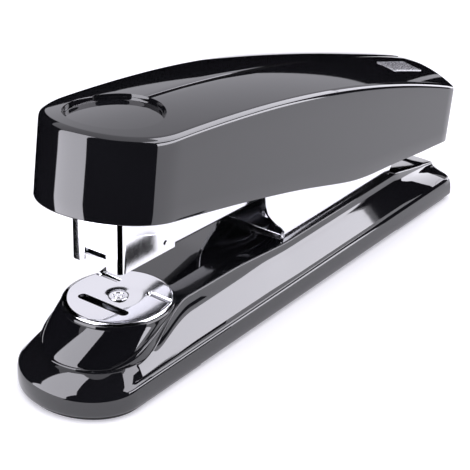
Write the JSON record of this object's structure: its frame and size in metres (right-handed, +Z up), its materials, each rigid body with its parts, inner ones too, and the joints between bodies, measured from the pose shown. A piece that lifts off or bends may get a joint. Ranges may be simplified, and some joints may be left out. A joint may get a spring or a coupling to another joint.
{
  "type": "desk stapler",
  "caption": "Desk stapler with an arched black handle cover over a chrome magazine, a turning anvil disc and a long base, hinged at the rear.",
  "frame": {"origin": "middle of the outer size in plan, on the plane the soles rest on", "axes": "+X from the nose to the rear hinge, +Y to the right-hand side seen from the rear towards the nose, +Z up"},
  "size_m": [0.158, 0.041, 0.0663],
  "materials": {
    "gloss_black": "high-gloss moulded black plastic",
    "cover_black": "high-gloss moulded black plastic",
    "cap_black": "high-gloss moulded black plastic",
    "sole_rubber": "matt black rubber",
    "anvil_chrome": "polished chrome plating",
    "head_chrome": "polished chrome plating",
    "channel_chrome": "polished chrome plating",
    "bracket_chrome": "polished chrome plating",
    "zinc_steel": "zinc-plated sheet steel",
    "pin_steel": "turned bright steel",
    "spring_steel": "hardened spring steel",
    "staple_wire": "galvanised staple wire",
    "brass_bush": "plain turned brass",
    "block_plastic": "matt black plastic",
    "pusher_plastic": "satin red plastic",
    "badge_metal": "satin aluminium foil plate"
  },
  "bodies": {
    "base": {"base_shell": "gloss_black", "nose_cap": "cap_black", "base_plate": "zinc_steel", "front_sole": "sole_rubber", "rear_sole": "sole_rubber", "base_screws": "pin_steel", "hinge_bracket": "bracket_chrome", "bracket_rivets": "pin_steel", "hinge_axle": "pin_steel", "axle_clips": "spring_steel", "spacer_washers": "zinc_steel", "lift_spring": "spring_steel", "anvil_rivet": "anvil_chrome", "anvil_spring_washer": "spring_steel"},
    "anvil": {"anvil_plate": "anvil_chrome"},
    "magazine": {"magazine_channel": "channel_chrome", "magazine_rail": "zinc_steel", "magazine_head": "head_chrome", "head_rivets": "head_chrome", "axle_bushing": "brass_bush", "rear_block": "block_plastic", "guide_rod": "pin_steel", "pusher_spring": "spring_steel", "staple_strip": "staple_wire"},
    "pusher": {"staple_pusher": "pusher_plastic"},
    "handle": {"top_cover": "cover_black", "handle_frame": "zinc_steel", "driver_blade": "zinc_steel", "driver_rivets": "pin_steel", "handle_spring": "spring_steel", "cover_screws": "pin_steel", "cover_badge": "badge_metal"}
  },
  "joints": [
    {"name": "anvil_turn", "type": "hinge", "parent": "base", "child": "anvil", "pos_m": [-0.0525, 0, 0.0187], "axis": [0, 0, 1], "range_deg": [0, 180]},
    {"name": "magazine_hinge", "type": "hinge", "parent": "base", "child": "magazine", "pos_m": [0.0604, 0, 0.0296], "axis": [0, -1, 0], "range_deg": [0, 5.05], "stiffness_Nm_per_rad": 1.6, "springref_deg": -6.88, "deforming": ["lift_spring"]},
    {"name": "handle_hinge", "type": "hinge", "parent": "magazine", "child": "handle", "pos_m": [0.0604, 0, 0.0296], "axis": [0, -1, 0], "range_deg": [-70, 3.6], "stiffness_Nm_per_rad": 1, "springref_deg": -2.29, "deforming": ["handle_spring"]},
    {"name": "pusher_slide", "type": "slide", "parent": "magazine", "child": "pusher", "axis": [0.9992, 0, -0.0403], "range_m": [0, 0.04], "stiffness_N_per_m": 60, "springref_m": -0.03, "deforming": ["pusher_spring"]}
  ]
}
